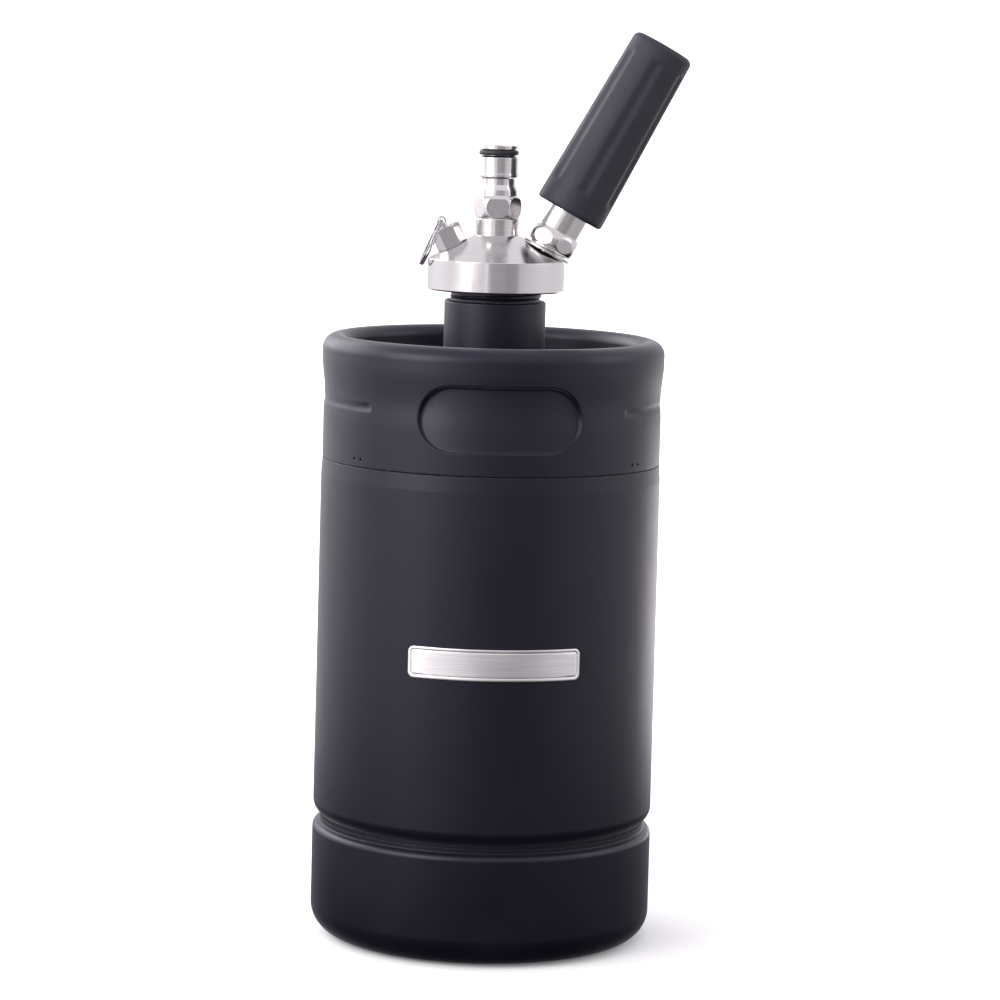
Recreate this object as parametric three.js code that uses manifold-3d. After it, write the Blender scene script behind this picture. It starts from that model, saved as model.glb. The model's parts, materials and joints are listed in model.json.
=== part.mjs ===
// Insulated mini keg with a screw-in ball-lock spear, a relief valve and a gas bulb holder.
// Millimetres, +Z up. The origin is the middle of the flat underside. The front faces -Y.
// The relief valve leans towards -X and the bulb holder leans towards +X.

import * as THREE from 'three';
import { mergeVertices } from 'three/addons/utils/BufferGeometryUtils.js';
import Module from 'manifold-3d';

const wasm = await Module();
wasm.setup();

// ---- driving dimensions -------------------------------------------------------------------

const GAP = 0.3; // clearance between pieces that rest on each other
const SHEET = 1.2; // thickness of the pressed steel shells
const DEG = Math.PI / 180;

const BIG = 28; // sides of the large turned shells
const MEDIUM = 20; // sides of the neck, hub and holder
const SMALL = 12; // sides of the small turned pieces

const FOOT_R = 77.2;
const FOOT_ROUND = 13;
const FOOT_TOP = 47.9;
const GROOVE_R = 73.8;
const GROOVE_Z = 53.2;

const BARREL_LOW_R = 77.0;
const BARREL_HIGH_R = 76.6;
const BARREL_LOW_Z = 61;
const BARREL_TOP = 217.3;

const COLLAR_LOW_R = 76;
const COLLAR_MID_R = 76.2;
const COLLAR_MID_Z = 238;
const COLLAR_WAIST_R = 75.75;
const COLLAR_WAIST_Z = 246.5;
const COLLAR_IN_R = 65;
const RIM_R = 77;
const RIM_TOP = 273;
const RIM_OUT_ROUND = 6.5;
const RIM_IN_ROUND = 5;

const RECESS_Z = 242.4;
const RECESS_LENGTH = 74;
const RECESS_HEIGHT = 28;
const RECESS_DEPTH = 2.2;
const CREASE_Z = 244.6;
const CREASE_HEIGHT = 3;
const CREASE_DEPTH = 0.7;
const CREASE_HALF_ANGLE = 42;
const VENT_R = 0.6;
const VENT_Z = 222;
const VENT_ANGLES = [54.3, 57.7];

const DOME_EDGE_Z = 222.5;
const DOME_RISE = 19;
const NECK_R = 22.85;
const NECK_BORE_R = 19.2;
const NECK_FOOT = 236;
const NECK_SHOULDER = 289.4;
const NECK_TOP = 302.3;
const THREAD_R = 20.6;
const THREAD_ROOT_R = 20;
const THREAD_PITCH = 4;
const THREAD_RIDGES = 3;

const TANK_R = 70.8;
const TANK_WALL = 1;
const TANK_FLOOR = 6;
const TANK_KNUCKLE = 12;
const TANK_SHOULDER = 200;
const TANK_DOME = 31;
const MOUTH_R = 17.6;
const MOUTH_OUT_R = 18.7;

const BADGE_Z = 128.4;
const BADGE_HEIGHT = 14;
const BADGE_HALF_ANGLE = 28.8;
const BADGE_IN_R = 77.15;
const BADGE_OUT_R = 77.95;

const HUB_R = 30.75;
const HUB_LOW = 293.7;
const HUB_EDGE = 307.6;
const CONE_TOP_R = 10.2;
const CONE_TOP = 318.4;
const BOSS_R = 9.75;
const BOSS_TOP = 326.2;
const CAP_BORE_R = 21.3;
const CAP_CEILING = 305.9;
const SHANK_BORE_R = 6.8;
const SHANK_FLOOR = 315.6;
const TUBE_BORE_R = 4.4;

const POST_TOP = 358.8;
const POST_HEX = 19;
const POST_HEX_R = 10.7;
const POST_HEX_TURN = -3.5;

const TUBE_R = 4;
const TUBE_IN_R = 3.2;
const TUBE_LOW = 14;

const RELIEF_TILT = -25.5; // degrees from +Z, towards +X when positive
const RELIEF_PLACE = [-19.76, 0, 313.3];
const RELIEF_SEAT = -0.6;
const RELIEF_HEX = 12;
const RELIEF_HEX_TOP = 9.2;
const RELIEF_GASKET_R = 5;
const RELIEF_GASKET_TOP = 0.5;
const STEM_R = 1.7;
const EYE_Z = 12.3;
const EYE_R = 2.2;
const EYE_HOLE_R = 1.35;
const EYE_THICK = 2.4;

const RING_R = 10.75;
const RING_WIRE = 0.9;
const RING_WIDTH = 1.9;
const RING_LEAN = 24; // degrees that the hanging ring leans out from straight down

const GAS_TILT = 28.4;
const GAS_PLACE = [22.6, 0, 311.85];
const GAS_SEAT = -0.7;
const GAS_HEX = 21.4;
const GAS_HEX_R = 11.6;
const GAS_HEX_TURN = 29;
const GAS_TUBE_R = 10;
const GAS_SHANK_R = 4;
const GAS_SHANK_LOW = -4.7;
const GAS_END = 26.5;

const BULB_R = 11;
const BULB_NECK_R = 4.7;
const BULB_LOW = 10.6;
const BULB_TOP = 97.6;
const BULB_WALL = 1.8;

const GRIP_LOW = 19.8;
const GRIP_TOP = 106;
const GRIP_LOW_R = 16.1;
const GRIP_TOP_R = 14.5;
const GRIP_BORE_R = 12.6;
const GRIP_EDGE = 1.7;
const GRIP_TOP_ROUND = 3;
const FLUTES = 6;
const FLUTE_DEPTH = 0.75;
const FLUTE_ROUND = 4.5;
const FLUTE_LOW = 29.5;
const FLUTE_TOP = 98.5;

// ---- finishes -----------------------------------------------------------------------------

const finish = (color, roughness, metalness) =>
  new THREE.MeshStandardMaterial({ color, roughness, metalness });

const powderCoat = finish(0x2c2b33, 0.55, 0.2);
const steel = finish(0xc9c6c8, 0.28, 1);
const tankSteel = finish(0xb8b8ba, 0.4, 1);
const springSteel = finish(0xa9a9ad, 0.35, 1);
const sealRubber = finish(0x1c1b20, 0.7, 0);
const gripRubber = finish(0x35343d, 0.75, 0);
const bulbSteel = finish(0xbfc0c4, 0.35, 1);
const getterMetal = finish(0x8c8a86, 0.6, 0.8);

// ---- outlines and solids ------------------------------------------------------------------

const point = (r, z) => new THREE.Vector2(r, z);

// points of a circular arc in an outline, from one angle to another, both in degrees
function arc(centreR, centreZ, radius, from, to, steps) {
  const points = [];
  for (let i = 0; i <= steps; i += 1) {
    const angle = (from + ((to - from) * i) / steps) * DEG;
    points.push(point(centreR + radius * Math.cos(angle), centreZ + radius * Math.sin(angle)));
  }
  return points;
}

// points of a quarter ellipse from (outR, low) up to (inR, low + rise), or back down
function quarterDome(inR, outR, low, rise, steps) {
  const points = [];
  for (let i = 0; i <= steps; i += 1) {
    const angle = ((90 * i) / steps) * DEG;
    points.push(point(inR + (outR - inR) * Math.cos(angle), low + rise * Math.sin(angle)));
  }
  return points;
}

// a three.js geometry becomes a manifold solid: shared vertices, no slivers, faces pointing out
function solid(geometry) {
  geometry.deleteAttribute('normal');
  geometry.deleteAttribute('uv');
  const merged = mergeVertices(geometry, 1e-4);
  const position = merged.attributes.position;
  const source = merged.index.array;
  const triangles = [];
  const a = new THREE.Vector3();
  const b = new THREE.Vector3();
  const c = new THREE.Vector3();
  let volume = 0;
  for (let i = 0; i < source.length; i += 3) {
    const [p, q, r] = [source[i], source[i + 1], source[i + 2]];
    if (p !== q && q !== r && r !== p) {
      triangles.push(p, q, r);
      a.fromBufferAttribute(position, p);
      b.fromBufferAttribute(position, q);
      c.fromBufferAttribute(position, r);
      volume += a.dot(b.cross(c));
    }
  }
  if (volume < 0) {
    triangles.reverse();
  }
  return new wasm.Manifold(new wasm.Mesh({
    numProp: 3,
    vertProperties: new Float32Array(position.array),
    triVerts: new Uint32Array(triangles),
  }));
}

// a piece turned about Z; an open outline starts and ends on the axis
function turned(outline, sides) {
  const geometry = new THREE.LatheGeometry(outline, sides);
  geometry.rotateX(Math.PI / 2);
  return solid(geometry);
}

// a ring or tube turned about Z, from an outline that closes on itself
const turnedRing = (outline, sides) => turned([...outline, outline[0].clone()], sides);

// a tube between two heights, or a washer when it is short
const washer = (inR, outR, low, high, sides) => turnedRing([
  point(inR, low),
  point(outR, low),
  point(outR, high),
  point(inR, high),
], sides);

const disc = (radius, low, high, sides) => turned([
  point(0, low),
  point(radius, low),
  point(radius, high),
  point(0, high),
], sides);

function box(sizeX, sizeY, sizeZ, x, y, z) {
  const geometry = new THREE.BoxGeometry(sizeX, sizeY, sizeZ);
  geometry.translate(x, y, z);
  return solid(geometry);
}

// a straight round rod between two points
function rod(from, to, radius, sides) {
  const start = new THREE.Vector3(...from);
  const along = new THREE.Vector3(...to).sub(start);
  const geometry = new THREE.CylinderGeometry(radius, radius, along.length(), sides);
  geometry.translate(0, along.length() / 2, 0);
  geometry.applyQuaternion(new THREE.Quaternion().setFromUnitVectors(
    new THREE.Vector3(0, 1, 0),
    along.clone().normalize(),
  ));
  geometry.translate(start.x, start.y, start.z);
  return solid(geometry);
}

// a six-sided bar about Z, with one flat facing -Y before it is turned by some degrees
function hexBar(acrossFlats, low, high, turn = 0) {
  const cornerR = acrossFlats / 2 / Math.cos(30 * DEG);
  const geometry = new THREE.CylinderGeometry(cornerR, cornerR, high - low, 6);
  geometry.rotateX(Math.PI / 2);
  geometry.rotateZ((30 + 60 + turn) * DEG);
  geometry.translate(0, 0, (low + high) / 2);
  return solid(geometry);
}

class Helix extends THREE.Curve {
  constructor(radius, low, high, turns) {
    super();
    this.radius = radius;
    this.low = low;
    this.high = high;
    this.turns = turns;
  }

  getPoint(t, target = new THREE.Vector3()) {
    const angle = t * this.turns * 2 * Math.PI;
    const z = this.low + (this.high - this.low) * t;
    return target.set(this.radius * Math.cos(angle), this.radius * Math.sin(angle), z);
  }
}

// a coil spring of round wire, whose coils lie between two heights
function spring(radius, wire, low, high, turns) {
  const sides = 5;
  const stepsPerTurn = 8;
  const section = new THREE.Shape();
  for (let i = 0; i < sides; i += 1) {
    const angle = (i / sides) * 2 * Math.PI;
    const x = (wire / 2) * Math.cos(angle);
    const y = (wire / 2) * Math.sin(angle);
    if (i === 0) {
      section.moveTo(x, y);
    } else {
      section.lineTo(x, y);
    }
  }
  return solid(new THREE.ExtrudeGeometry(section, {
    steps: Math.round(turns * stepsPerTurn),
    extrudePath: new Helix(radius, low + wire / 2, high - wire / 2, turns),
  }));
}

function oRing(radius, section, z, sides) {
  const geometry = new THREE.TorusGeometry(radius, section, 6, sides);
  geometry.translate(0, 0, z);
  return solid(geometry);
}

// ---- frames of the two tilted assemblies --------------------------------------------------

function tiltedFrame(place, tilt) {
  const frame = new THREE.Group();
  frame.position.set(...place);
  frame.rotation.y = tilt * DEG;
  frame.updateMatrix();
  return frame;
}

const keg = new THREE.Group();
const relief = tiltedFrame(RELIEF_PLACE, RELIEF_TILT);
const gas = tiltedFrame(GAS_PLACE, GAS_TILT);
keg.add(relief, gas);

// a solid built in a tilted frame, moved to the keg's own frame
const inKegFrame = (part, frame) => part.transform(frame.matrix.toArray());

function add(name, part, material, frame = keg) {
  const mesh = part.getMesh();
  const geometry = new THREE.BufferGeometry();
  geometry.setAttribute('position', new THREE.BufferAttribute(mesh.vertProperties, 3));
  geometry.setIndex(new THREE.BufferAttribute(mesh.triVerts, 1));
  geometry.computeVertexNormals();
  const node = new THREE.Mesh(geometry, material);
  node.name = name;
  frame.add(node);
}

// ---- keg shells ---------------------------------------------------------------------------

function footRing() {
  const lipR = 59.5;
  const flatR = FOOT_R - FOOT_ROUND;
  const shoulder = 2.8;
  const inside = SHEET + 0.2;
  return turnedRing([
    point(lipR, 0),
    ...arc(flatR, FOOT_ROUND, FOOT_ROUND, -90, 0, 4),
    ...arc(FOOT_R - shoulder, FOOT_TOP, shoulder, 0, 75, 2),
    point(GROOVE_R, FOOT_TOP + shoulder + 0.5),
    point(GROOVE_R, GROOVE_Z),
    point(GROOVE_R - inside, GROOVE_Z),
    point(GROOVE_R - inside, FOOT_TOP + 1.6),
    point(FOOT_R - inside, FOOT_TOP - 1.2),
    ...arc(flatR, FOOT_ROUND, FOOT_ROUND - inside, 0, -90, 2),
    point(lipR, inside),
  ], BIG);
}

// the underside: flat in the middle and at the edge, with a shallow pressed ring between them
function basePlate() {
  const edgeR = 59.2;
  const press = 1;
  return turned([
    point(0, 0),
    point(28, 0),
    point(30, press),
    point(46, press),
    point(48, 0),
    point(edgeR, 0),
    point(edgeR, SHEET),
    point(47.4, SHEET),
    point(45.4, SHEET + press),
    point(30.6, SHEET + press),
    point(28.6, SHEET),
    point(0, SHEET),
  ], BIG);
}

function barrelShell() {
  const round = 7;
  const wall = SHEET;
  const low = GROOVE_Z + GAP;
  const startAngle = -Math.acos((GROOVE_R - (BARREL_LOW_R - round)) / round) / DEG;
  const inner = arc(BARREL_LOW_R - round, BARREL_LOW_Z, round - wall, 0, startAngle, 2);
  return turnedRing([
    point(GROOVE_R, low),
    ...arc(BARREL_LOW_R - round, BARREL_LOW_Z, round, startAngle, 0, 3),
    point(BARREL_HIGH_R, BARREL_TOP - 3),
    point(BARREL_HIGH_R - 0.6, BARREL_TOP),
    point(BARREL_HIGH_R - 0.6 - wall, BARREL_TOP),
    point(BARREL_HIGH_R - wall, BARREL_TOP - 4),
    ...inner,
    point(GROOVE_R - wall - 0.1, low),
  ], BIG);
}

// a stadium-shaped bar along Y, as wide as the hand recess plus a margin all round
function recessBar(margin, fromY, toY) {
  const halfHeight = RECESS_HEIGHT / 2 + margin;
  const straight = (RECESS_LENGTH - RECESS_HEIGHT) / 2;
  const ends = [-straight, straight].map((x) =>
    rod([x, fromY, RECESS_Z], [x, toY, RECESS_Z], halfHeight, 14));
  const middle = box(
    2 * straight,
    Math.abs(toY - fromY),
    2 * halfHeight,
    0,
    (fromY + toY) / 2,
    RECESS_Z,
  );
  return middle.add(ends[0]).add(ends[1]);
}

// the hollow collar: an outer skin and an inner skin joined by the wide rolled rim
function collarShell() {
  const outCentre = RIM_R - RIM_OUT_ROUND;
  const outTop = RIM_TOP - RIM_OUT_ROUND;
  const inTop = RIM_TOP - RIM_IN_ROUND;
  const inFoot = DOME_EDGE_Z - 1.5;
  return turnedRing([
    point(COLLAR_IN_R, inFoot),
    point(COLLAR_IN_R + SHEET, inFoot),
    point(COLLAR_IN_R + 0.5 + SHEET, inTop),
    ...arc(outCentre, inTop, RIM_IN_ROUND - SHEET, 180, 90, 2).slice(1),
    ...arc(outCentre, outTop, RIM_OUT_ROUND - SHEET, 90, 0, 2),
    point(COLLAR_WAIST_R - SHEET, COLLAR_WAIST_Z),
    point(COLLAR_MID_R - SHEET, COLLAR_MID_Z),
    point(COLLAR_LOW_R - SHEET, BARREL_TOP + GAP),
    point(COLLAR_LOW_R, BARREL_TOP + GAP),
    point(COLLAR_MID_R, COLLAR_MID_Z),
    point(COLLAR_WAIST_R, COLLAR_WAIST_Z),
    ...arc(outCentre, outTop, RIM_OUT_ROUND, 0, 90, 3),
    ...arc(outCentre, inTop, RIM_IN_ROUND, 90, 180, 2).slice(1),
  ], BIG);
}

function topCollar() {
  let collar = collarShell();
  const clearR = 90; // outside every part of the collar
  const hollowR = 50; // between the collar's two skins and the axis
  const floorR = COLLAR_WAIST_R - RECESS_DEPTH;
  const low = RECESS_Z - 22;
  const high = RECESS_Z + 22;
  const pocketRing = washer(floorR - SHEET, COLLAR_WAIST_R - 0.15, low, high, BIG);
  const clearRing = washer(floorR, clearR, low, high, BIG);
  for (const side of [-1, 1]) {
    const pocket = recessBar(SHEET, side * hollowR, side * clearR).intersect(pocketRing);
    const opening = recessBar(0, side * hollowR, side * clearR).intersect(clearRing);
    collar = collar.add(pocket).subtract(opening);
  }
  const creaseLow = CREASE_Z - CREASE_HEIGHT / 2;
  const creaseHigh = CREASE_Z + CREASE_HEIGHT / 2;
  const creaseRing = turnedRing([
    point(COLLAR_WAIST_R - CREASE_DEPTH, CREASE_Z),
    point(clearR, creaseLow - 4),
    point(clearR, creaseHigh + 4),
  ], BIG);
  const reach = clearR * Math.sin(CREASE_HALF_ANGLE * DEG);
  for (const side of [-1, 1]) {
    const sector = box(60, 2 * reach, 20, side * 80, 0, CREASE_Z);
    collar = collar.subtract(creaseRing.intersect(sector));
  }
  for (const front of [-1, 1]) {
    for (const side of [-1, 1]) {
      for (const angle of VENT_ANGLES) {
        const x = side * Math.sin(angle * DEG);
        const y = front * Math.cos(angle * DEG);
        const [inR, outR] = [COLLAR_LOW_R - 6, COLLAR_LOW_R + 4];
        const vent = rod([inR * x, inR * y, VENT_Z], [outR * x, outR * y, VENT_Z], VENT_R, 6);
        collar = collar.subtract(vent);
      }
    }
  }
  return collar;
}

function shoulderDome() {
  const edgeR = COLLAR_IN_R - GAP;
  const neckEdgeR = NECK_R + GAP;
  const top = quarterDome(neckEdgeR, edgeR, DOME_EDGE_Z, DOME_RISE, 4);
  const under = quarterDome(neckEdgeR, edgeR - SHEET, DOME_EDGE_Z - 0.2, DOME_RISE - SHEET, 4);
  return turnedRing([...top, ...under.reverse()], BIG);
}

function threadedNeck() {
  const ridges = [];
  for (let i = 0; i < THREAD_RIDGES; i += 1) {
    const z = NECK_SHOULDER + 1 + i * THREAD_PITCH;
    ridges.push(
      point(THREAD_ROOT_R, z),
      point(THREAD_R, z + 0.9),
      point(THREAD_R, z + 1.7),
      point(THREAD_ROOT_R, z + 2.6),
    );
  }
  return turnedRing([
    point(NECK_BORE_R, NECK_FOOT),
    point(NECK_R, NECK_FOOT),
    point(NECK_R, NECK_SHOULDER - 1.2),
    point(NECK_R - 1, NECK_SHOULDER),
    point(THREAD_ROOT_R, NECK_SHOULDER),
    ...ridges,
    point(THREAD_ROOT_R - 0.3, NECK_TOP),
    point(NECK_BORE_R, NECK_TOP),
  ], MEDIUM);
}

function innerTank() {
  const wall = TANK_WALL;
  const kneeR = TANK_R - TANK_KNUCKLE;
  const kneeZ = TANK_FLOOR + TANK_KNUCKLE;
  const lipLow = NECK_TOP + GAP;
  const lipTop = lipLow + 0.7;
  const dome = quarterDome(MOUTH_OUT_R, TANK_R, TANK_SHOULDER, TANK_DOME, 4);
  const inside = quarterDome(MOUTH_R, TANK_R - wall, TANK_SHOULDER, TANK_DOME - wall, 4);
  return turned([
    point(0, TANK_FLOOR),
    ...arc(kneeR, kneeZ, TANK_KNUCKLE, -90, 0, 3),
    ...dome,
    point(MOUTH_OUT_R, lipLow),
    point(THREAD_R - 0.3, lipLow),
    point(THREAD_R - 0.3, lipTop),
    point(MOUTH_R, lipTop),
    ...inside.reverse(),
    ...arc(kneeR, kneeZ, TANK_KNUCKLE - wall, 0, -90, 3),
    point(0, TANK_FLOOR + wall),
  ], BIG);
}

// a plain curved plate on the front of the barrel
function badgePlate() {
  const half = BADGE_HALF_ANGLE * DEG;
  const shape = new THREE.Shape();
  shape.absarc(0, 0, BADGE_OUT_R, -Math.PI / 2 - half, -Math.PI / 2 + half, false);
  shape.absarc(0, 0, BADGE_IN_R, -Math.PI / 2 + half, -Math.PI / 2 - half, true);
  const geometry = new THREE.ExtrudeGeometry(shape, {
    depth: BADGE_HEIGHT,
    bevelEnabled: false,
    curveSegments: 10,
  });
  geometry.translate(0, 0, BADGE_Z);
  return solid(geometry);
}

function getterCapsule() {
  return disc(6, TANK_FLOOR - 2, TANK_FLOOR - GAP, SMALL).translate(22, 0, 0);
}

add('foot_ring', footRing(), powderCoat);
add('base_plate', basePlate(), powderCoat);
add('barrel_shell', barrelShell(), powderCoat);
add('top_collar', topCollar(), powderCoat);
add('shoulder_dome', shoulderDome(), powderCoat);
add('threaded_neck', threadedNeck(), powderCoat);
add('inner_tank', innerTank(), tankSteel);
add('badge_plate', badgePlate(), steel);
add('evacuation_seal', disc(4, SHEET + GAP, SHEET + GAP + 1.6, SMALL), getterMetal);
add('getter_capsule', getterCapsule(), getterMetal);

// ---- spear: hub, post, dip tube -----------------------------------------------------------

function spearHub() {
  const blank = turnedRing([
    point(CAP_BORE_R, HUB_LOW),
    point(HUB_R - 0.9, HUB_LOW),
    point(HUB_R, HUB_LOW + 0.9),
    point(HUB_R, HUB_EDGE),
    point(CONE_TOP_R, CONE_TOP),
    point(BOSS_R, CONE_TOP),
    point(BOSS_R, BOSS_TOP - 0.5),
    point(BOSS_R - 0.5, BOSS_TOP),
    point(SHANK_BORE_R, BOSS_TOP),
    point(SHANK_BORE_R, SHANK_FLOOR),
    point(TUBE_BORE_R, SHANK_FLOOR),
    point(TUBE_BORE_R, CAP_CEILING),
    point(CAP_BORE_R, CAP_CEILING),
  ], BIG);
  const gasSeat = inKegFrame(disc(12.4, GAS_SEAT, 8, 24), gas);
  const gasBore = inKegFrame(disc(GAS_SHANK_R + GAP, GAS_SHANK_LOW - GAP, 1, SMALL), gas);
  const gasPassage = rod([20.6, 0, 308], [13.6, 0, CAP_CEILING - 1.5], 1.3, 8);
  const reliefSeat = inKegFrame(disc(7.4, RELIEF_SEAT, 5, 20), relief);
  const reliefBore = inKegFrame(disc(3.9, -5.5, 1, SMALL), relief);
  const reliefPassage = inKegFrame(disc(1.5, -10, -5, 8), relief);
  return [gasSeat, gasBore, gasPassage, reliefSeat, reliefBore, reliefPassage]
    .reduce((hub, cutter) => hub.subtract(cutter), blank);
}

// the liquid post: a shank, a hexagon with turned corners, a waist and the O-ring head
function ballLockPost() {
  const shankLow = 319.6;
  const hexLow = BOSS_TOP + GAP;
  const hexTop = 335.9;
  const hexRound = turned([
    point(0, hexLow),
    point(9.6, hexLow),
    point(POST_HEX_R, hexLow + 1.8),
    point(POST_HEX_R, hexTop - 1.8),
    point(9.2, hexTop),
    point(0, hexTop),
  ], MEDIUM);
  const hex = hexRound.intersect(hexBar(POST_HEX, hexLow - 1, hexTop + 1, POST_HEX_TURN));
  const shaft = turned([
    point(0, shankLow),
    point(6.5, shankLow),
    point(6.5, hexLow + 1),
    point(8.5, hexLow + 1),
    point(9, hexTop),
    point(8.6, 338.4),
    point(7.7, 340.7),
    point(7.6, 344),
    point(8.85, 344.6),
    point(8.85, 345.6),
    point(8.65, 347.4),
    point(8.65, 353.3),
    point(7.1, 354),
    point(7.1, 356.9),
    point(8.45, 357),
    point(8.45, POST_TOP - 0.4),
    point(8, POST_TOP),
    point(0, POST_TOP),
  ], MEDIUM);
  const bore = turned([
    point(0, shankLow - 1),
    point(3.6, shankLow - 1),
    point(3.6, 327),
    point(4.9, 327),
    point(4.9, 349.9),
    point(3, 352),
    point(3, 353),
    point(6.2, 356),
    point(6.5, POST_TOP + 1),
    point(0, POST_TOP + 1),
  ], 18);
  return shaft.add(hex).subtract(bore);
}

function poppet() {
  const seat = 348.2;
  return turned([
    point(0, 346.2),
    point(4.3, 346.2),
    point(4.3, seat),
    point(2.4, seat),
    point(2.4, 356.6),
    point(1.8, 357.3),
    point(0, 357.3),
  ], SMALL);
}

function dipTube() {
  return turnedRing([
    point(TUBE_IN_R, TUBE_LOW),
    point(TUBE_R, TUBE_LOW),
    point(TUBE_R, 318.2),
    point(6.2, 318.2),
    point(6.2, 319.3),
    point(TUBE_IN_R, 319.3),
  ], SMALL);
}

const gasketLow = NECK_TOP + GAP + 0.7 + GAP;
add('neck_gasket', washer(MOUTH_R + 0.2, 20.5, gasketLow, CAP_CEILING - GAP, MEDIUM), sealRubber);
add('spear_hub', spearHub(), steel);
add('ball_lock_post', ballLockPost(), steel);
add('post_o_ring', oRing(8.2, 0.75, 355.45, 20), sealRubber);
add('poppet', poppet(), steel);
add('poppet_seal', washer(2.75, 4.2, 348.5, 349.5, SMALL), sealRubber);
add('poppet_spring', spring(3.9, 0.8, 327.3, 345.9, 6), springSteel);
add('dip_tube', dipTube(), tankSteel);
add('dip_tube_o_ring', oRing(5.4, 0.9, 316.85, SMALL), sealRubber);

// ---- relief valve, in its tilted frame ----------------------------------------------------

// the valve's hexagon, hollowed underneath where it covers its gasket
function reliefBody() {
  const hexLow = RELIEF_SEAT + GAP;
  const hexRound = turned([
    point(0, hexLow),
    point(7, hexLow),
    point(7, RELIEF_HEX_TOP - 1),
    point(5.7, RELIEF_HEX_TOP),
    point(0, RELIEF_HEX_TOP),
  ], 24);
  const hex = hexRound.intersect(hexBar(RELIEF_HEX, hexLow - 1, RELIEF_HEX_TOP + 1));
  const gasketRoom = disc(RELIEF_GASKET_R + GAP, hexLow - 1, RELIEF_GASKET_TOP + GAP, 20);
  const shank = disc(3.6, -5, RELIEF_GASKET_TOP + GAP + 1, SMALL);
  const bore = turned([
    point(0, -6),
    point(1.2, -6),
    point(1.2, -4.2),
    point(2.7, -4.2),
    point(2.7, 5.8),
    point(STEM_R + GAP, 5.8),
    point(STEM_R + GAP, RELIEF_HEX_TOP + 1),
    point(0, RELIEF_HEX_TOP + 1),
  ], SMALL);
  return hex.subtract(gasketRoom).add(shank).subtract(bore);
}

function reliefStem() {
  const pin = turned([
    point(0, -2.9),
    point(2.3, -2.9),
    point(2.3, -2.2),
    point(STEM_R, -2.2),
    point(STEM_R, EYE_Z),
    point(0, EYE_Z),
  ], SMALL);
  const half = EYE_THICK / 2;
  const eye = rod([0, -half, EYE_Z], [0, half, EYE_Z], EYE_R, 18);
  const hole = rod([0, -4, EYE_Z], [0, 4, EYE_Z], EYE_HOLE_R, 12);
  return pin.add(eye).subtract(hole);
}

// the ring hangs from the eye: its plane holds Y and leans out from straight down
function pullRing() {
  const ring = washer(
    RING_R - RING_WIRE / 2,
    RING_R + RING_WIRE / 2,
    -RING_WIDTH / 2,
    RING_WIDTH / 2,
    32,
  );
  const eye = new THREE.Vector3(0, 0, EYE_Z).applyMatrix4(relief.matrix);
  const lean = RING_LEAN * DEG;
  return ring
    .rotate([0, 90 + RING_LEAN, 0])
    .translate(eye.x - RING_R * Math.sin(lean), 0, eye.z - RING_R * Math.cos(lean));
}

const reliefGasket = washer(3.9, RELIEF_GASKET_R, RELIEF_SEAT + GAP, RELIEF_GASKET_TOP, SMALL);
add('prv_gasket', reliefGasket, sealRubber, relief);
add('prv_body', reliefBody(), steel, relief);
add('prv_stem', reliefStem(), steel, relief);
add('prv_seat_seal', disc(2.3, -3.9, -3.2, SMALL), sealRubber, relief);
add('prv_spring', spring(2.2, 0.5, -1.9, 2.4, 3), springSteel, relief);
add('pull_ring', pullRing(), steel);

// ---- gas inlet and bulb holder, in their tilted frame -------------------------------------

function gasAdapter() {
  const collarLow = 1.7;
  const collarTop = 9.4;
  const collarRound = turned([
    point(0, collarLow),
    point(10.4, collarLow),
    point(GAS_HEX_R, collarLow + 1.6),
    point(GAS_HEX_R, collarTop - 1.8),
    point(10.4, collarTop),
    point(0, collarTop),
  ], MEDIUM);
  const collar = collarRound.intersect(hexBar(GAS_HEX, collarLow - 1, collarTop + 1, GAS_HEX_TURN));
  const shaft = turned([
    point(0, GAS_SHANK_LOW),
    point(GAS_SHANK_R, GAS_SHANK_LOW),
    point(GAS_SHANK_R, 1),
    point(9.6, 1),
    point(9.6, collarLow + 0.5),
    point(10.2, collarTop - 0.5),
    point(GAS_TUBE_R, 11),
    point(GAS_TUBE_R, 21.5),
    point(9.5, 22),
    point(9.9, 23),
    point(9.5, 24),
    point(9.9, 25),
    point(9.5, GAS_END),
    point(0, GAS_END),
  ], MEDIUM);
  const bore = turned([
    point(0, GAS_SHANK_LOW - 1),
    point(1.5, GAS_SHANK_LOW - 1),
    point(1.5, -3.9),
    point(2.4, -3.9),
    point(2.4, 4.6),
    point(0.9, 5.4),
    point(0.9, 7.5),
    point(5.2, 7.5),
    point(5.2, 19),
    point(6.2, 22),
    point(8.4, GAS_END),
    point(8.4, GAS_END + 1),
    point(0, GAS_END + 1),
  ], 16);
  return shaft.add(collar).subtract(bore);
}

function piercingPin() {
  return turnedRing([
    point(0.5, 7.9),
    point(4.8, 7.9),
    point(4.8, 8.9),
    point(1.1, 8.9),
    point(1.1, 12.4),
    point(0.7, 13.4),
    point(0.5, 13.4),
  ], 12);
}

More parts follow.
